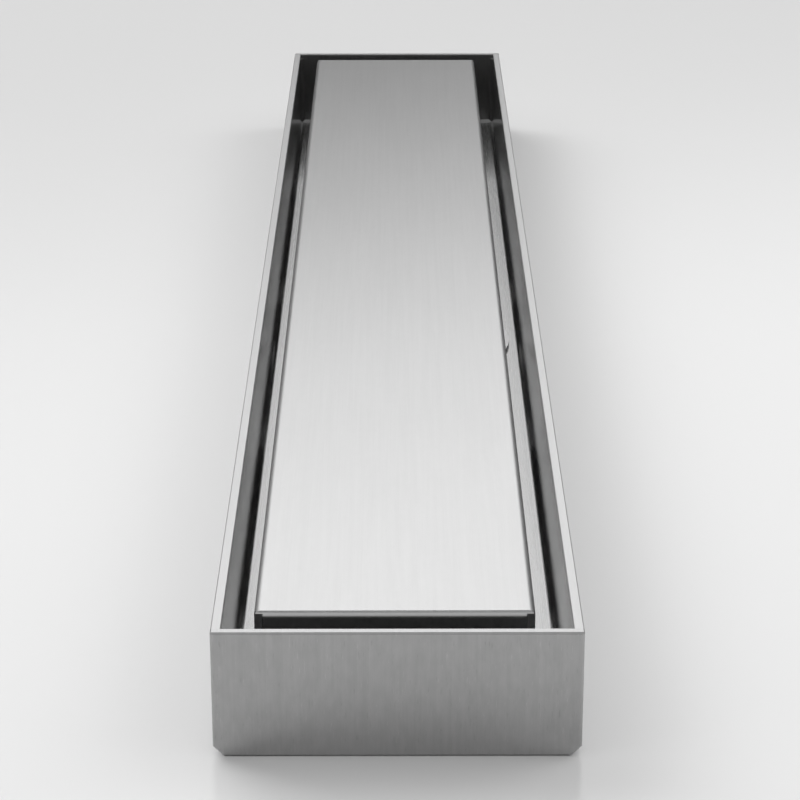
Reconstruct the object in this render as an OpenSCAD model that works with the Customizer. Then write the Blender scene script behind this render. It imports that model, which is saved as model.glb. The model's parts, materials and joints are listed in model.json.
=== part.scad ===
// Linear shower channel drain in folded stainless steel sheet, with a flat cover and a hair strainer.
// The channel lies along Y. The origin is under its middle, on the surface that it stands on.

/* [Channel] */
// Overall length of the channel, over both end plates
channel_l = 450; // [350:5:900]
// Overall width of the channel
channel_w = 70; // [66:0.5:100]
// Overall height of the channel, from its underside to its rim
channel_h = 26; // [24:0.5:40]
// Sheet thickness of the folded trough
channel_t = 2; // [1.2:0.1:2.5]
// Inside radius of the trough's two long bends
channel_bend_r = 1.5; // [0.5:0.1:2]
// Size of the chamfer along both edges of the trough's rim
rim_break = 0.2; // [0.1:0.05:0.4]

/* [End plates] */
// Thickness of the plates that close the two ends
end_t = 2; // [1.2:0.1:3]
// Size of the chamfer along the plates' outer edges
edge_break = 0.4; // [0.1:0.1:0.6]
// Leg of the weld along the inside of each plate
weld_leg = 1; // [0.5:0.1:1.5]
// From the rim down to the upper ends of the weld
weld_end = 1.5; // [0.5:0.1:4]

/* [Cover] */
// Sheet thickness of the folded cover
cover_t = 1.5; // [1:0.1:2]
// Height of the cover, from the lower edge of its sides to its face
cover_h = 13; // [10:0.5:16]
// Outside radius of the cover's four bends, folded tight over a cut groove
cover_bend_r = 1.2; // [0.5:0.1:1.4]
// Radius of the cover's corners, seen from above
cover_corner_r = 0.6; // [0.3:0.1:1.2]
// How far the cover's face lies below the channel's rim
cover_step = 0; // [0:0.1:1.5]
// Water gap along each side of the cover
gap_side = 6.25; // [4.5:0.25:10]
// Water gap at each end of the cover
gap_end = 6.75; // [4.5:0.25:15]
// Space between an end side of the cover and the long side next to it
seam_gap = 0.2; // [0.1:0.1:0.6]
// Sheet that is left of the face over an open corner
corner_web = 0.4; // [0.3:0.1:1]
// Where the loose cover lies across its play: 0 is the middle, -1 and 1 are against a side
cover_shift = -0.7; // [-1:0.1:1]

/* [Supports] */
// Sheet thickness of the supports
support_t = 1; // [0.8:0.1:2]
// Inside radius of the supports' bends
support_bend_r = 0.4; // [0.2:0.1:1]
// Width of a support, along the channel
support_l = 18; // [12:1:30]
// How far a support's flat top reaches out under the cover's sides
edge_bearing = 1; // [0.8:0.1:2]
// From the cover's end to the middle of the outer support
support_inset = 50; // [20:5:80]
// Free floor between the strainer and the inner support
support_clear = 16; // [4:1:30]
// Width of a locating tab, along the channel
tab_w = 8; // [4:0.5:10]
// Height of a locating tab above its support
tab_h = 4; // [2:0.5:6]
// Play between a locating tab and the side of the cover, which lies in the middle
tab_play = 0.7; // [0.1:0.05:0.8]
// Radius of a locating tab's upper corners
tab_corner_r = 1.5; // [0.5:0.1:2]

/* [Outlet] */
// Diameter of the outlet opening in the trough's floor
outlet_d = 46; // [36:1:48]
// Number of notches round the outlet, one for each strainer lug
lug_count = 3; // [2:1:6]
// Width of a strainer lug
lug_w = 6; // [4:0.5:8]
// Play round a strainer lug in its notch
lug_play = 0.4; // [0.2:0.1:0.8]
// How far a lug's lower edge stays above the underside of the floor
lug_rise = 0.4; // [0.2:0.1:0.8]

/* [Strainer] */
// Sheet thickness of the strainer
strainer_t = 1; // [0.6:0.1:1.2]
// How far the strainer's flange reaches past the outlet
flange_lap = 7; // [4.5:0.5:9]
// Height of the strainer's crown above the trough's floor
crown_h = 7; // [5:0.5:8]
// Space between the crown's side and the edge of the outlet
crown_inset = 1.5; // [1:0.25:3]
// Inside radius of the strainer's pressed bends
crown_bend_r = 1; // [0.5:0.1:1.5]
// Diameter of a hole in the crown
hole_d = 3.5; // [2:0.25:4]
// Distance between neighbouring holes in the crown
hole_pitch = 5.5; // [5:0.25:8]
// Number of slots round the crown's side
slot_count = 12; // [6:1:16]
// Width of a slot
slot_w = 4; // [2:0.5:5]
// Height of a slot
slot_h = 2.5; // [1.5:0.25:3]

/* [Hidden] */
$fn = 64;

// Overlap of a cut past the face that it goes through
cut = 1;
quarter_turn = 90;
eighth_turn = 45;
full_turn = 360;
hex_sides = 6;
hex_turn = full_turn / hex_sides;

// Folded trough
trough_l = channel_l - 2 * end_t;
outer_bend_r = channel_bend_r + channel_t;
// Cut across a plate's lower corner, so deep that it touches the trough's bend
plate_cut = (2 - sqrt(2)) * outer_bend_r;
inner_w = channel_w - 2 * channel_t;
inner_h = channel_h - channel_t;

// Cover, in the opening of the rim, moved to one side within its play
cover_w = inner_w - 2 * gap_side;
cover_l = trough_l - 2 * gap_end;
cover_top = channel_h - cover_step;
cover_foot = cover_top - cover_h;
cover_x = cover_shift * tab_play;

// Supports, as high as the space that the cover leaves above the floor
support_outer_r = support_bend_r + support_t;
support_w = cover_w + 2 * (edge_bearing - cover_t + support_outer_r);
support_h = cover_foot - channel_t;
tab_face = cover_w / 2 - cover_t - tab_play;

// Outlet, with notches as deep as the lugs need
outlet_r = outlet_d / 2;
lug_r = outlet_r + lug_play;
notch_r = lug_r + strainer_t + lug_play;
notch_w = lug_w + 2 * lug_play;
lug_drop = channel_t - lug_rise;

// Strainer, pressed from one disc
flange_r = outlet_r + flange_lap;
crown_r = outlet_r - crown_inset;
crown_outer_r = crown_bend_r + strainer_t;
crown_flat_r = crown_r - crown_outer_r;
hole_rings = floor((crown_flat_r - hole_d / 2) / hole_pitch);
slot_z = channel_t + strainer_t + (crown_h - 2 * strainer_t - slot_h) / 2;

// Where the four supports stand along the channel
support_y_outer = cover_l / 2 - support_inset;
support_y_inner = flange_r + support_clear + support_l / 2;

steel = "silver";
dark_steel = "darkgray";

// An outline in the XZ plane, drawn out along Y and centred on it
module along_y(length) {
    rotate([quarter_turn, 0, 0])
        linear_extrude(height = length, center = true)
            children();
}

// An outline in the YZ plane, drawn out along X and centred on it
module along_x(length) {
    rotate([quarter_turn, 0, quarter_turn])
        linear_extrude(height = length, center = true)
            children();
}

// Rectangle standing on the origin, with its two lower corners rounded
module round_foot(w, h, r) {
    translate([-w / 2, r])
        square([w, h - r]);
    translate([-w / 2 + r, 0])
        square([w - 2 * r, r]);
    for (side = [-1, 1])
        translate([side * (w / 2 - r), r])
            circle(r);
}

// The same rectangle with its two upper corners rounded
module round_head(w, h, r) {
    translate([0, h])
        mirror([0, 1])
            round_foot(w, h, r);
}

// Rectangle centred on the origin, with all four corners rounded
module round_plan(w, l, r) {
    square([w - 2 * r, l], center = true);
    square([w, l - 2 * r], center = true);
    for (x = [-1, 1], y = [-1, 1])
        translate([x * (w / 2 - r), y * (l / 2 - r)])
            circle(r);
}

// The hollow of the trough from its floor up, seen along the channel
module hollow_outline(h) {
    translate([0, channel_t])
        round_foot(inner_w, h, channel_bend_r);
}

// Square standing on one of its corners, centred on the edge whose chamfer it cuts
module breaker(size) {
    rotate(eighth_turn)
        square(size / sin(eighth_turn), center = true);
}

// Outlet opening with its notches
module outlet_cut() {
    translate([0, 0, -cut])
        cylinder(r = outlet_r, h = channel_t + 2 * cut);
    for (i = [0 : lug_count - 1])
        rotate([0, 0, i * full_turn / lug_count])
            translate([0, -notch_w / 2, -cut])
                cube([notch_r, notch_w, channel_t + 2 * cut]);
}

module channel_trough() {
    color(steel)
        difference() {
            along_y(trough_l)
                difference() {
                    round_foot(channel_w, channel_h, outer_bend_r);
                    hollow_outline(inner_h + cut);
                    for (x = [-channel_w / 2, -inner_w / 2, inner_w / 2, channel_w / 2])
                        translate([x, channel_h])
                            breaker(rim_break);
                }
            outlet_cut();
        }
}

// Bar across the channel that cuts a chamfer along an edge
module edge_cutter(size, length) {
    along_x(length)
        breaker(size);
}

// Outline of a plate: its lower corners are cut across, its upper ones are broken like the rim
module plate_outline() {
    difference() {
        polygon([[-channel_w / 2, channel_h], [-channel_w / 2, plate_cut],
                 [-channel_w / 2 + plate_cut, 0], [channel_w / 2 - plate_cut, 0],
                 [channel_w / 2, plate_cut], [channel_w / 2, channel_h]]);
        for (x = [-channel_w / 2, channel_w / 2])
            translate([x, channel_h])
                breaker(rim_break);
    }
}

// Weld along the inside of a plate: three-sided beads on the walls and the floor
module weld_bead() {
    bead = [[0, 0], [weld_leg, 0], [0, weld_leg]];
    intersection() {
        translate([0, weld_leg / 2, 0])
            along_y(weld_leg)
                hollow_outline(inner_h - weld_end);
        union() {
            translate([0, 0, channel_t])
                along_x(inner_w)
                    polygon(bead);
            for (side = [0, 1])
                mirror([side, 0, 0])
                    translate([-inner_w / 2, 0, 0])
                        linear_extrude(height = channel_h)
                            polygon(bead);
        }
    }
}

// End plate with its outer face on y = 0 and the channel behind it
module end_plate() {
    difference() {
        translate([0, end_t / 2, 0])
            along_y(end_t)
                plate_outline();
        for (z = [0, channel_h])
            translate([0, 0, z])
                edge_cutter(edge_break, channel_w + 2 * cut);
        for (side = [-1, 1]) {
            translate([side * channel_w / 2, 0, channel_h / 2])
                rotate([0, quarter_turn, 0])
                    edge_cutter(edge_break, channel_h + 2 * cut);
            translate([side * (channel_w - plate_cut) / 2, 0, plate_cut / 2])
                rotate([0, -side * eighth_turn, 0])
                    edge_cutter(edge_break, 2 * plate_cut);
        }
        translate([0, end_t, channel_h])
            edge_cutter(rim_break, inner_w + 2 * rim_break);
    }
    translate([0, end_t, 0])
        weld_bead();
}

module end_plate_front() {
    color(steel)
        translate([0, -channel_l / 2, 0])
            end_plate();
}

module end_plate_rear() {
    color(steel)
        mirror([0, 1, 0])
            translate([0, -channel_l / 2, 0])
                end_plate();
}

// Solid with the cover's outer form, its upper edges and corners rounded
module cover_form() {
    intersection() {
        along_y(cover_l)
            round_head(cover_w, cover_h, cover_bend_r);
        along_x(cover_w)
            round_head(cover_l, cover_h, cover_bend_r);
        linear_extrude(height = cover_h)
            round_plan(cover_w, cover_l, cover_corner_r);
    }
}

// Open relief under each corner, where the folded sides meet
module corner_reliefs() {
    relief = cover_t + seam_gap;
    relief_h = cover_h - corner_web;
    for (x = [-1, 1], y = [-1, 1])
        translate([x * cover_w / 2, y * cover_l / 2, (relief_h - cut) / 2])
            cube([2 * relief, 2 * relief, relief_h + cut], center = true);
}

module cover_tray() {
    color(steel)
        translate([cover_x, 0, cover_foot])
            difference() {
                cover_form();
                translate([0, 0, (cover_h - cover_t - cut) / 2])
                    cube([cover_w - 2 * cover_t, cover_l - 2 * cover_t, cover_h - cover_t + cut],
                         center = true);
                corner_reliefs();
            }
}

// Locating tab, lanced out of the support's top and bent up
module support_tab() {
    translate([tab_face - support_t / 2, 0, 0])
        along_x(support_t)
            translate([0, support_h - support_t])
                round_head(tab_w, tab_h + support_t, tab_corner_r);
}

// The window that a lanced tab leaves in the support's top
module tab_window() {
    translate([tab_face - support_t - tab_h, -tab_w / 2, support_h - support_t - cut])
        cube([tab_h, tab_w, support_t + 2 * cut]);
}

// Bridge over the floor, which carries the lower edges of the cover's sides
module support() {
    translate([0, 0, channel_t]) {
        difference() {
            along_y(support_l)
                difference() {
                    round_head(support_w, support_h, support_outer_r);
                    translate([0, -cut])
                        round_head(support_w - 2 * support_t, support_h - support_t + cut,
                                   support_bend_r);
                }
            for (side = [0, 1])
                mirror([side, 0, 0])
                    tab_window();
        }
        for (side = [0, 1])
            mirror([side, 0, 0])
                support_tab();
    }
}

module support_at(y) {
    color(dark_steel)
        translate([0, y, 0])
            support();
}

module support_front_outer() {
    support_at(-support_y_outer);
}

module support_front_inner() {
    support_at(-support_y_inner);
}

module support_rear_inner() {
    support_at(support_y_inner);
}

module support_rear_outer() {
    support_at(support_y_outer);
}

// Half section of the pressed strainer: crown, side and flange, with rounded bends
module strainer_section() {
    difference() {
        union() {
            square([crown_flat_r, crown_h]);
            square([crown_r, crown_h - crown_outer_r]);
            translate([crown_flat_r, crown_h - crown_outer_r])
                circle(crown_outer_r);
            square([flange_r, strainer_t]);
            translate([crown_r, strainer_t])
                square(crown_bend_r);
        }
        translate([crown_r + crown_bend_r, strainer_t + crown_bend_r])
            circle(crown_bend_r);
        translate([-cut, -cut])
            square([crown_r - strainer_t + cut, crown_h - crown_outer_r + cut]);
        translate([-cut, -cut])
            square([crown_flat_r + cut, crown_h - strainer_t + cut]);
        translate([crown_flat_r, crown_h - crown_outer_r])
            circle(crown_bend_r);
    }
}

// Holes of the crown on a triangular grid, ring by ring round the centre
module crown_holes() {
    translate([0, 0, channel_t + crown_h / 2]) {
        cylinder(d = hole_d, h = crown_h);
        for (ring = [1 : hole_rings], side = [1 : hex_sides], step = [0 : ring - 1])
            rotate([0, 0, side * hex_turn])
                translate([ring * hole_pitch - step * hole_pitch * cos(hex_turn),
                           step * hole_pitch * sin(hex_turn), 0])
                    cylinder(d = hole_d, h = crown_h);
    }
}

module crown_slots() {
    for (i = [0 : slot_count - 1])
        rotate([0, 0, i * full_turn / slot_count])
            translate([crown_r - crown_outer_r, -slot_w / 2, slot_z])
                cube([2 * crown_outer_r, slot_w, slot_h]);
}

// Lugs lanced out of the flange and bent down into the outlet's notches
module strainer_lugs() {
    for (i = [0 : lug_count - 1])
        rotate([0, 0, i * full_turn / lug_count])
            translate([lug_r, -lug_w / 2, channel_t - lug_drop])
                cube([strainer_t, lug_w, lug_drop + strainer_t]);
}

module lug_windows() {
    for (i = [0 : lug_count - 1])
        rotate([0, 0, i * full_turn / lug_count])
            translate([lug_r + strainer_t, -lug_w / 2, channel_t - cut])
                cube([lug_drop, lug_w, strainer_t + 2 * cut]);
}

module hair_strainer() {
    color(steel) {
        difference() {
            translate([0, 0, channel_t])
                rotate_extrude()
                    strainer_section();
            crown_holes();
            crown_slots();
            lug_windows();
        }
        strainer_lugs();
    }
}

channel_trough();
end_plate_front();
end_plate_rear();
cover_tray();
support_front_outer();
support_front_inner();
support_rear_inner();
support_rear_outer();
hair_strainer();
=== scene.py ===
"""Looks of the shower channel drain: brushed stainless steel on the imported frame, in a plain pale studio."""

import json
import math

import bpy
from mathutils import Matrix, Vector


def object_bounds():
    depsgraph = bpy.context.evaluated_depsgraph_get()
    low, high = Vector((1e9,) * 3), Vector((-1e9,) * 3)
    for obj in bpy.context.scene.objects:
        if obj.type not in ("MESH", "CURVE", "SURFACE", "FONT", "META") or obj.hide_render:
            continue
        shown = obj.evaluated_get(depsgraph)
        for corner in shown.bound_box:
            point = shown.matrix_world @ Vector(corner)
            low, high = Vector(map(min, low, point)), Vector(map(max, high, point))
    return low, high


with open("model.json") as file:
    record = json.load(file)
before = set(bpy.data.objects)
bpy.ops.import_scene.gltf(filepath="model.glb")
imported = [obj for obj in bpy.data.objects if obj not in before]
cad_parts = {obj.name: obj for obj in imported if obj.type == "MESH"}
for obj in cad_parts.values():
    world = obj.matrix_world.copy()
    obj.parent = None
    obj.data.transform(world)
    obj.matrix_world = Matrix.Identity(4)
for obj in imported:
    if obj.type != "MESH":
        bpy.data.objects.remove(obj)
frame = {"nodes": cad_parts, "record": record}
cad_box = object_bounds()

MM = 0.001

# Camera, worked out from the straight edges in the photograph
IMAGE_SIDE_PX = 800
FOCAL_PX = 2655.1
SENSOR_MM = 36
CAMERA_BEFORE_FRONT = 445.352 * MM
CAMERA_ABOVE_RIM = 219.443 * MM
CAMERA_ASIDE = 0.087 * MM
PITCH_DEG = 21.215
YAW_DEG = 0.057
ROLL_DEG = -0.045

# Studio
LIGHT_DISTANCE = 3.0
SURROUND_TONE = 0.10

# Floor: painted light, its tone rises from the near distance to the far one
FLOOR_SIDE = 24.0
FLOOR_DROP = 0.05 * MM
FLOOR_NEAR = 0.3
FLOOR_FAR = 1.6
FLOOR_TONE_NEAR = 0.82
FLOOR_TONE_FAR = 0.95
FLOOR_ROUGHNESS = 0.2
FLOOR_IOR = 1.5

# Which way the sheet was brushed. The small second part is for faces that look along the first
GRAIN_LENGTHWISE = (0.0, 1.0, 0.02)
GRAIN_UPWARD = (0.0, 0.02, 1.0)
QUARTER_TURN = 0.25

# Marks of the brushing, across and along the grain in millimetres
LINE_MM = (0.12, 14)
STREAK_MM = (0.8, 45)
CLOUD_MM = (30, 60)
PATCH_MM = (1.4, 3.5)
FLECK_MM = (0.35, 2.5)
LINE_DETAIL = 3.0
LINE_HEIGHT = 0.01 * MM
LINE_STRENGTH = 0.25
ROUGHNESS_SWING = 0.03

# Most values of a noise lie between the first two, and flecks are where it passes the others
NOISE_LOW = 0.3
NOISE_HIGH = 0.7
FLECK_START = 0.14
FLECK_FULL = 0.24

# How level a face is, from 0 when upright to 1: limits for walls, for the floor and for the painted highlight
# on level faces
WALL_LEVEL = 0.2
FLOOR_LEVEL = 0.7
PAINTED_HIGHLIGHT_START = 0.6
PAINTED_HIGHLIGHT_FULL = 0.9

# From the middle of the channel to the middle of the trough's sheet
WALL_MIDDLE = 34 * MM

# Over the bends between the trough's floor and its walls
FLOOR_BEND_TOP = 6 * MM


def make_camera():
    """Camera at the photograph's place, with its narrow view."""
    low, high = cad_box
    data = bpy.data.cameras.new("camera")
    data.sensor_width = SENSOR_MM
    data.lens = FOCAL_PX / IMAGE_SIDE_PX * SENSOR_MM
    data.clip_start = 0.01
    data.clip_end = 100
    camera = bpy.data.objects.new("camera", data)
    place = Vector((CAMERA_ASIDE, low.y - CAMERA_BEFORE_FRONT, high.z + CAMERA_ABOVE_RIM))
    pitch, yaw, roll = (math.radians(a) for a in (PITCH_DEG, YAW_DEG, ROLL_DEG))
    ahead = Vector((math.sin(yaw) * math.cos(pitch), math.cos(yaw) * math.cos(pitch), -math.sin(pitch)))
    side = Vector((math.cos(yaw), -math.sin(yaw), 0))
    up = side.cross(ahead)
    turned_side = side * math.cos(roll) + up * math.sin(roll)
    turned_up = up * math.cos(roll) - side * math.sin(roll)
    turn = Matrix((turned_side, turned_up, -ahead)).transposed()
    camera.matrix_world = Matrix.Translation(place) @ turn.to_4x4()
    bpy.context.scene.collection.objects.link(camera)
    bpy.context.scene.camera = camera


def direction(azimuth_deg, elevation_deg):
    """Unit vector. Azimuth 0 is +Y, behind the channel, and 90 is +X."""
    azimuth, elevation = math.radians(azimuth_deg), math.radians(elevation_deg)
    return Vector((math.sin(azimuth) * math.cos(elevation), math.cos(azimuth) * math.cos(elevation),
                   math.sin(elevation)))


def softbox(name, azimuth, elevation, width, height, radiance, mirrored=True):
    """Soft rectangular light that faces the channel. Metal shows it where mirrored is true."""
    data = bpy.data.lights.new(name, "AREA")
    data.shape = "RECTANGLE"
    data.size = width
    data.size_y = height
    data.energy = radiance * math.pi * width * height
    light = bpy.data.objects.new(name, data)
    towards = direction(azimuth, elevation)
    light.location = towards * LIGHT_DISTANCE
    light.rotation_mode = "QUATERNION"
    light.rotation_quaternion = towards.to_track_quat("Z", "Y")
    light.visible_camera = False
    light.visible_glossy = mirrored
    bpy.context.scene.collection.objects.link(light)


def grey(value):
    """Opaque grey colour."""
    return (value, value, value, 1)


def light_studio():
    """Bright light behind on the left, dimmer ones on the other sides, and fills that no metal shows."""
    softbox("rear_softbox", azimuth=-22, elevation=37.3, width=4.4, height=2.0, radiance=1.09)
    softbox("front_softbox", azimuth=180, elevation=46, width=6.0, height=3.4, radiance=0.33)
    softbox("left_softbox", azimuth=-95, elevation=34, width=3.2, height=2.2, radiance=0.80)
    softbox("right_softbox", azimuth=85, elevation=34, width=3.2, height=2.2, radiance=0.80)
    softbox("ceiling_softbox", azimuth=0, elevation=89, width=1.0, height=1.0, radiance=0.50)
    softbox("left_fill", azimuth=-42, elevation=42, width=2.0, height=2.0, radiance=3.1, mirrored=False)
    softbox("right_fill", azimuth=60, elevation=45, width=2.0, height=2.0, radiance=1.2, mirrored=False)
    softbox("overhead_fill", azimuth=120, elevation=70, width=4.0, height=4.0, radiance=0.42, mirrored=False)
    world = bpy.data.worlds.new("studio")
    world.use_nodes = True
    world.node_tree.nodes["Background"].inputs["Color"].default_value = grey(SURROUND_TONE)
    bpy.context.scene.world = world


def new_material(name):
    """Empty node material: its tree and its Principled shader."""
    material = bpy.data.materials.new(name)
    material.use_nodes = True
    tree = material.node_tree
    return material, tree, tree.nodes["Principled BSDF"]


def set_values(node, **values):
    """Sets the sockets of a node by name, with _ for a space."""
    for name, value in values.items():
        node.inputs[name.replace("_", " ")].default_value = value


def calculate(tree, operation, first, second):
    """Math node. The first operand is a socket, the second a socket or a plain number."""
    node = tree.nodes.new("ShaderNodeMath")
    node.operation = operation
    tree.links.new(first, node.inputs[0])
    if isinstance(second, float):
        node.inputs[1].default_value = second
    else:
        tree.links.new(second, node.inputs[1])
    return node.outputs["Value"]


def spread(tree, value, low, high, low_out, high_out):
    """Maps a value's range low to high onto low_out to high_out."""
    node = tree.nodes.new("ShaderNodeMapRange")
    set_values(node, From_Min=low, From_Max=high, To_Min=low_out, To_Max=high_out)
    tree.links.new(value, node.inputs["Value"])
    return node.outputs["Result"]


def swing(tree, noise, middle, reach):
    """Maps a noise onto the values that lie up to reach from the middle."""
    return spread(tree, noise, NOISE_LOW, NOISE_HIGH, middle - reach, middle + reach)


def link_tone(tree, tone, shader):
    """Makes a value between 0 and 1 the grey base colour of a shader."""
    colour = tree.nodes.new("ShaderNodeCombineColor")
    for channel in ("Red", "Green", "Blue"):
        tree.links.new(tone, colour.inputs[channel])
    tree.links.new(colour.outputs["Color"], shader.inputs["Base Color"])


def stretched_noise(tree, cell_mm, grain, detail=2.0):
    """Noise drawn out along the grain. cell_mm holds the size of its cells across and along it."""
    place = tree.nodes.new("ShaderNodeTexCoord")
    scale = tree.nodes.new("ShaderNodeMapping")
    across, along = (1 / (size * MM) for size in cell_mm)
    longest = max(range(3), key=lambda i: grain[i])
    set_values(scale, Scale=[along if i == longest else across for i in range(3)])
    noise = tree.nodes.new("ShaderNodeTexNoise")
    set_values(noise, Scale=1.0, Detail=detail)
    tree.links.new(place.outputs["Object"], scale.inputs["Vector"])
    tree.links.new(scale.outputs["Vector"], noise.inputs["Vector"])
    return noise.outputs["Fac"]


def levelness(tree):
    """0 on upright faces, 1 on faces that look straight up or down."""
    geometry = tree.nodes.new("ShaderNodeNewGeometry")
    facing = tree.nodes.new("ShaderNodeSeparateXYZ")
    tree.links.new(geometry.outputs["True Normal"], facing.inputs["Vector"])
    return calculate(tree, "ABSOLUTE", facing.outputs["Z"], 0.0)


def inside_masks(tree):
    """Two masks: one is 1 on the upright faces inside the trough, the other on its floor."""
    place = tree.nodes.new("ShaderNodeTexCoord")
    parts = tree.nodes.new("ShaderNodeSeparateXYZ")
    tree.links.new(place.outputs["Object"], parts.inputs["Vector"])
    aside = calculate(tree, "ABSOLUTE", parts.outputs["X"], 0.0)
    inside = calculate(tree, "LESS_THAN", aside, WALL_MIDDLE)
    low = calculate(tree, "LESS_THAN", parts.outputs["Z"], FLOOR_BEND_TOP)
    level = levelness(tree)
    walls = calculate(tree, "MULTIPLY", inside, spread(tree, level, WALL_LEVEL, FLOOR_LEVEL, 1.0, 0.0))
    lying = calculate(tree, "MULTIPLY", low, spread(tree, level, WALL_LEVEL, FLOOR_LEVEL, 0.0, 1.0))
    return walls, calculate(tree, "MULTIPLY", inside, lying)


def flecks(tree, grain, strength):
    """Sparse short marks of the brush, some lighter and some darker than the sheet."""
    marks = stretched_noise(tree, FLECK_MM, grain)
    light = spread(tree, marks, 0.5 + FLECK_START, 0.5 + FLECK_FULL, 0.0, strength)
    dark = spread(tree, marks, 0.5 - FLECK_FULL, 0.5 - FLECK_START, -strength, 0.0)
    return calculate(tree, "ADD", light, dark)


def sheet_tone(tree, lines, grain, shade, streak, mark, painted_highlight):
    """Tone of the sheet: lines, wider streaks and clouds round its shade, flecks, and a painted highlight on
    level faces.
    """
    streaks = swing(tree, stretched_noise(tree, STREAK_MM, grain), 0, streak)
    clouds = swing(tree, stretched_noise(tree, CLOUD_MM, grain), 0, streak / 2)
    tone = calculate(tree, "ADD", streaks, clouds)
    tone = calculate(tree, "ADD", tone, swing(tree, lines, shade, streak))
    if mark:
        patches = swing(tree, stretched_noise(tree, PATCH_MM, grain), 0, mark / 3)
        tone = calculate(tree, "ADD", tone, flecks(tree, grain, mark))
        tone = calculate(tree, "ADD", tone, patches)
    # Painted highlight: faces that look up or down are made paler, standing in for the light that they catch.
    if painted_highlight:
        pale = spread(tree, levelness(tree), PAINTED_HIGHLIGHT_START, PAINTED_HIGHLIGHT_FULL, 0.0, painted_highlight)
        tone = calculate(tree, "ADD", tone, pale)
    return tone


def brush_lines(tree, lines, grain, shader):
    """Fine relief of the brushing, and the direction that it draws highlights out in."""
    bump = tree.nodes.new("ShaderNodeBump")
    set_values(bump, Strength=LINE_STRENGTH, Distance=LINE_HEIGHT)
    tree.links.new(lines, bump.inputs["Height"])
    tree.links.new(bump.outputs["Normal"], shader.inputs["Normal"])
    tangent = tree.nodes.new("ShaderNodeCombineXYZ")
    set_values(tangent, X=grain[0], Y=grain[1], Z=grain[2])
    tree.links.new(tangent.outputs["Vector"], shader.inputs["Tangent"])


def brushed_steel(name, grain, shade, roughness, anisotropy, streak, mark=0.0, painted_highlight=0.0, inside=None):
    """Brushed stainless sheet. inside is how the trough's inner faces differ from the rest."""
    material, tree, shader = new_material(name)
    lines = stretched_noise(tree, LINE_MM, grain, LINE_DETAIL)
    tone = sheet_tone(tree, lines, grain, shade, streak, mark, painted_highlight)
    rough = swing(tree, lines, roughness, ROUGHNESS_SWING)
    if inside:
        walls, floor = inside_masks(tree)
        smoother_walls = calculate(tree, "MULTIPLY", walls, inside["walls_smoother"])
        smoother_floor = calculate(tree, "MULTIPLY", floor, inside["floor_smoother"])
        rough = calculate(tree, "SUBTRACT", rough, smoother_walls)
        rough = calculate(tree, "SUBTRACT", rough, smoother_floor)
        # Painted shade: the trough's floor, down in the channel, is darkened.
        tone = calculate(tree, "SUBTRACT", tone, calculate(tree, "MULTIPLY", floor, inside["floor_painted_shade"]))
    link_tone(tree, tone, shader)
    tree.links.new(rough, shader.inputs["Roughness"])
    brush_lines(tree, lines, grain, shader)
    set_values(shader, Metallic=1.0, Anisotropic=anisotropy, Anisotropic_Rotation=QUARTER_TURN)
    return material


def trough_steel():
    """Folded trough: brushed rim and outside, a smoother inside, and painted shade that darkens its floor a
    little.
    """
    inside = {"walls_smoother": 0.165, "floor_smoother": 0.08, "floor_painted_shade": 0.10}
    return brushed_steel("trough_steel", GRAIN_LENGTHWISE, shade=0.72, roughness=0.34, anisotropy=0.3,
                         streak=0.012, inside=inside)


def plate_steel():
    """End plates: brushed upwards, a little flecked, with a low shade that is painted shade and a painted
    highlight on the top edge.
    """
    # The shade, darker than the rest of the same steel, is painted shade for the shadowed floor that the
    # plates mirror; the pale level faces are a painted highlight.
    return brushed_steel("plate_steel", GRAIN_UPWARD, shade=0.42, roughness=0.34, anisotropy=0.8,
                         streak=0.012, mark=0.05, painted_highlight=0.28)


def cover_steel():
    """Cover: the palest sheet, brushed along the channel."""
    return brushed_steel("cover_steel", GRAIN_LENGTHWISE, shade=0.76, roughness=0.34, anisotropy=0.8,
                         streak=0.012, mark=0.012)


def support_steel():
    """Bridges under the cover: dull sheet as it comes from the mill."""
    return brushed_steel("support_steel", GRAIN_LENGTHWISE, shade=0.60, roughness=0.38, anisotropy=0.3,
                         streak=0.05)


def strainer_steel():
    """Pressed strainer, close to the trough's floor in tone."""
    return brushed_steel("strainer_steel", GRAIN_LENGTHWISE, shade=0.72, roughness=0.30, anisotropy=0.3,
                         streak=0.02)


def pale_floor():
    """Pale, slightly glossy tabletop with painted light: its tone gets a little paler away from the channel.
    """
    material, tree, shader = new_material("pale_floor")
    place = tree.nodes.new("ShaderNodeTexCoord")
    distance = tree.nodes.new("ShaderNodeVectorMath")
    distance.operation = "LENGTH"
    tree.links.new(place.outputs["Object"], distance.inputs[0])
    away = distance.outputs["Value"]
    # Painted light: the floor's tone follows the distance from the channel.
    link_tone(tree, spread(tree, away, FLOOR_NEAR, FLOOR_FAR, FLOOR_TONE_NEAR, FLOOR_TONE_FAR), shader)
    set_values(shader, Roughness=FLOOR_ROUGHNESS, IOR=FLOOR_IOR)
    return material


def make_floor():
    """Level floor just under the channel."""
    bpy.ops.mesh.primitive_plane_add(size=FLOOR_SIDE, location=(0, 0, -FLOOR_DROP))
    floor = bpy.context.object
    floor.name = "floor"
    floor.data.materials.append(pale_floor())


def dress(node, material):
    """Gives a CAD node its material."""
    mesh_object = frame["nodes"][node]
    if not mesh_object.material_slots:
        mesh_object.data.materials.append(material)
    for slot in mesh_object.material_slots:
        slot.material = material


def dress_all():
    """Gives every CAD node the material that the record names for it."""
    makers = (trough_steel, plate_steel, cover_steel, support_steel, strainer_steel)
    materials = {maker.__name__: maker() for maker in makers}
    for part in frame["record"]["subparts"]:
        dress(part["node"], materials[part["material_slot"]])


bpy.context.scene.view_settings.view_transform = "Standard"
make_camera()
light_studio()
make_floor()
dress_all()
